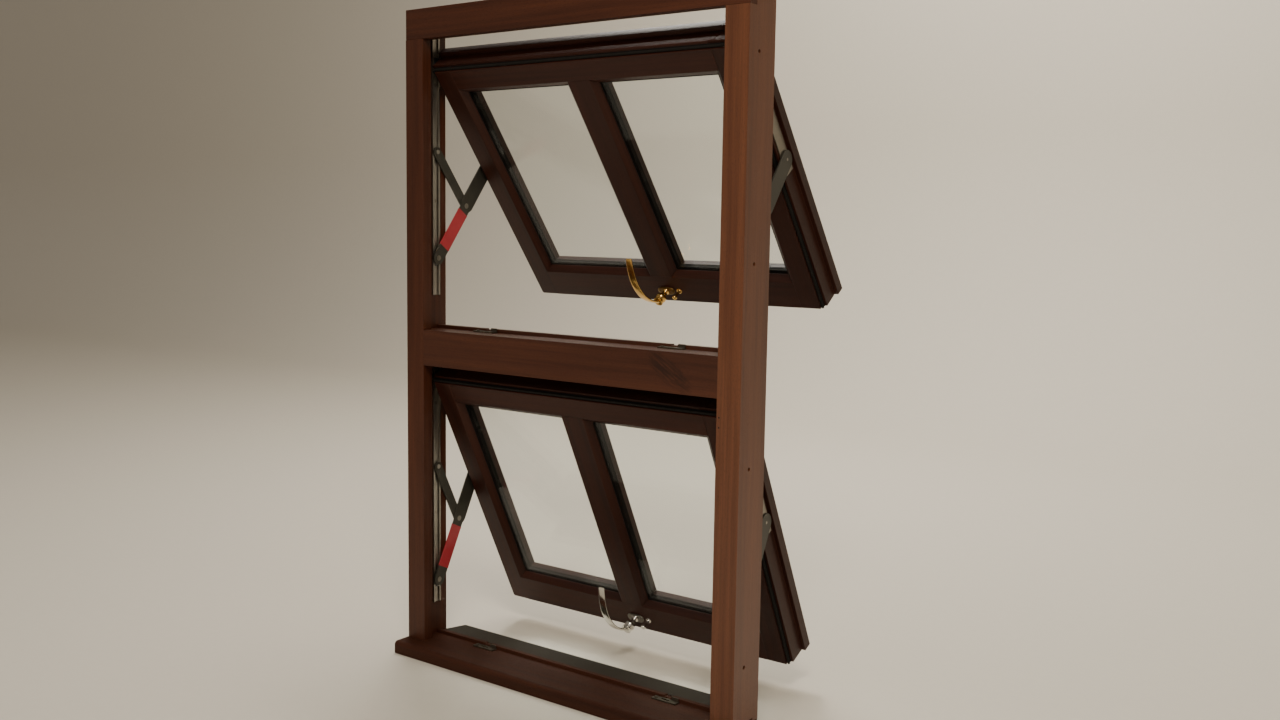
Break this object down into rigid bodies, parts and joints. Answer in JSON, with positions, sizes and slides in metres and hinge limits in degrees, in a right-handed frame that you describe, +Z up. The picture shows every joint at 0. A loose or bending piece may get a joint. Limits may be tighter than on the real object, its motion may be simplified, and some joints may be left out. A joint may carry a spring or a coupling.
{
  "type": "double projecting sash window",
  "caption": "Dark hardwood window frame with two outward-projecting glazed sashes on side stays, each with a glazing bar, curled handle and sliding lock rod.",
  "frame": {"origin": "middle of the flat underside of the sill, under the middle of the frame depth", "axes": "+X to the right seen from the room, +Y outward to the open air, +Z up"},
  "size_m": [0.9, 0.5135, 1.468],
  "materials": {
    "dark_hardwood": "satin stain",
    "bronze_metal": "satin",
    "mill_aluminium": "satin",
    "dull_steel": "satin",
    "dark_steel": "satin",
    "clear_glass": "clear",
    "black_spacer": "matt",
    "black_seal": "matt",
    "red_sleeve": "satin",
    "nylon": "matt",
    "bright_brass": "polished",
    "bright_chrome": "polished"
  },
  "bodies": {
    "frame": {"frame_head": "dark_hardwood", "frame_sill": "dark_hardwood", "frame_transom": "dark_hardwood", "jamb_left": "dark_hardwood", "jamb_right": "dark_hardwood", "drip_sill": "bronze_metal", "upper_track_left": "mill_aluminium", "upper_track_right": "mill_aluminium", "upper_keeps": "dull_steel", "lower_track_left": "mill_aluminium", "lower_track_right": "mill_aluminium", "lower_keeps": "dull_steel"},
    "upper_sash": {"upper_stile_left": "dark_hardwood", "upper_stile_right": "dark_hardwood", "upper_top_rail": "dark_hardwood", "upper_bottom_rail": "dark_hardwood", "upper_glazing_bar": "dark_hardwood", "upper_glass_left": "clear_glass", "upper_glass_right": "clear_glass", "upper_beads_left": "dark_hardwood", "upper_beads_right": "dark_hardwood", "upper_spacers": "black_spacer", "upper_gaskets": "black_seal", "upper_weather_seal": "black_seal", "upper_sash_plates": "dull_steel", "upper_lock_strip": "dull_steel", "upper_handle_plate": "bright_brass"},
    "upper_arms": {"upper_arm_left": "dark_steel", "upper_arm_right": "dark_steel", "upper_arm_sleeves": "red_sleeve"},
    "upper_links": {"upper_links": "dark_steel"},
    "upper_top_shoes": {"upper_top_shoes": "nylon"},
    "upper_bottom_shoes": {"upper_bottom_shoes": "nylon"},
    "upper_lock_rod": {"upper_lock_rod": "dull_steel"},
    "upper_handle": {"upper_handle": "bright_brass"},
    "lower_sash": {"lower_stile_left": "dark_hardwood", "lower_stile_right": "dark_hardwood", "lower_top_rail": "dark_hardwood", "lower_bottom_rail": "dark_hardwood", "lower_glazing_bar": "dark_hardwood", "lower_glass_left": "clear_glass", "lower_glass_right": "clear_glass", "lower_beads_left": "dark_hardwood", "lower_beads_right": "dark_hardwood", "lower_spacers": "black_spacer", "lower_gaskets": "black_seal", "lower_weather_seal": "black_seal", "lower_sash_plates": "dull_steel", "lower_lock_strip": "dull_steel", "lower_handle_plate": "bright_chrome"},
    "lower_arms": {"lower_arm_left": "dark_steel", "lower_arm_right": "dark_steel", "lower_arm_sleeves": "red_sleeve"},
    "lower_links": {"lower_links": "dark_steel"},
    "lower_top_shoes": {"lower_top_shoes": "nylon"},
    "lower_bottom_shoes": {"lower_bottom_shoes": "nylon"},
    "lower_lock_rod": {"lower_lock_rod": "dull_steel"},
    "lower_handle": {"lower_handle": "bright_chrome"}
  },
  "joints": [
    {"name": "upper_link_swing", "type": "hinge", "parent": "frame", "child": "upper_links", "pos_m": [0, 0.0125, 1.158], "axis": [1, 0, 0], "range_deg": [-36.68, 23.32]},
    {"name": "upper_arm_turn", "type": "hinge", "parent": "upper_links", "child": "upper_arms", "pos_m": [0, 0.1021, 1.0377], "axis": [1, 0, 0], "range_deg": [-46.64, 73.36]},
    {"name": "upper_sash_turn", "type": "hinge", "parent": "upper_arms", "child": "upper_sash", "pos_m": [0, 0.17378, 1.13394], "axis": [1, 0, 0], "range_deg": [-73.36, 46.64]},
    {"name": "upper_top_shoe_turn", "type": "hinge", "parent": "upper_sash", "child": "upper_top_shoes", "pos_m": [0, 0.0125, 1.35048], "axis": [1, 0, 0], "range_deg": [-23.32, 36.68]},
    {"name": "upper_bottom_shoe_turn", "type": "hinge", "parent": "upper_arms", "child": "upper_bottom_shoes", "pos_m": [0, 0.0125, 0.91741], "axis": [1, 0, 0], "range_deg": [-36.68, 23.32]},
    {"name": "upper_handle_turn", "type": "hinge", "parent": "upper_sash", "child": "upper_handle", "pos_m": [0, 0.34524, 0.85017], "axis": [0, -0.802, -0.5973], "range_deg": [0, 90]},
    {"name": "upper_rod_slide", "type": "slide", "parent": "upper_sash", "child": "upper_lock_rod", "axis": [1, 0, 0], "range_m": [0, 0.02]},
    {"name": "lower_link_swing", "type": "hinge", "parent": "frame", "child": "lower_links", "pos_m": [0, 0.0125, 0.431], "axis": [1, 0, 0], "range_deg": [-25.9, 34.1]},
    {"name": "lower_arm_turn", "type": "hinge", "parent": "lower_links", "child": "lower_arms", "pos_m": [0, 0.07802, 0.29607], "axis": [1, 0, 0], "range_deg": [-68.2, 51.8]},
    {"name": "lower_sash_turn", "type": "hinge", "parent": "lower_arms", "child": "lower_sash", "pos_m": [0, 0.13044, 0.40401], "axis": [1, 0, 0], "range_deg": [-51.8, 68.2]},
    {"name": "lower_top_shoe_turn", "type": "hinge", "parent": "lower_sash", "child": "lower_top_shoes", "pos_m": [0, 0.0125, 0.64689], "axis": [1, 0, 0], "range_deg": [-34.1, 25.9]},
    {"name": "lower_bottom_shoe_turn", "type": "hinge", "parent": "lower_arms", "child": "lower_bottom_shoes", "pos_m": [0, 0.0125, 0.16113], "axis": [1, 0, 0], "range_deg": [-25.9, 34.1]},
    {"name": "lower_handle_turn", "type": "hinge", "parent": "lower_sash", "child": "lower_handle", "pos_m": [0, 0.2458, 0.09318], "axis": [0, -0.8996, -0.4368], "range_deg": [0, 90]},
    {"name": "lower_rod_slide", "type": "slide", "parent": "lower_sash", "child": "lower_lock_rod", "axis": [1, 0, 0], "range_m": [0, 0.02]}
  ],
  "couplings": [
    {"joint": "upper_arm_turn", "follows": "upper_link_swing", "ratio": -2},
    {"joint": "upper_sash_turn", "follows": "upper_link_swing", "ratio": 2},
    {"joint": "upper_top_shoe_turn", "follows": "upper_link_swing", "ratio": -1},
    {"joint": "upper_bottom_shoe_turn", "follows": "upper_link_swing", "ratio": 1},
    {"joint": "upper_rod_slide", "follows": "upper_handle_turn", "m_per_rad": 0.012732},
    {"joint": "lower_arm_turn", "follows": "lower_link_swing", "ratio": -2},
    {"joint": "lower_sash_turn", "follows": "lower_link_swing", "ratio": 2},
    {"joint": "lower_top_shoe_turn", "follows": "lower_link_swing", "ratio": -1},
    {"joint": "lower_bottom_shoe_turn", "follows": "lower_link_swing", "ratio": 1},
    {"joint": "lower_rod_slide", "follows": "lower_handle_turn", "m_per_rad": 0.012732}
  ]
}
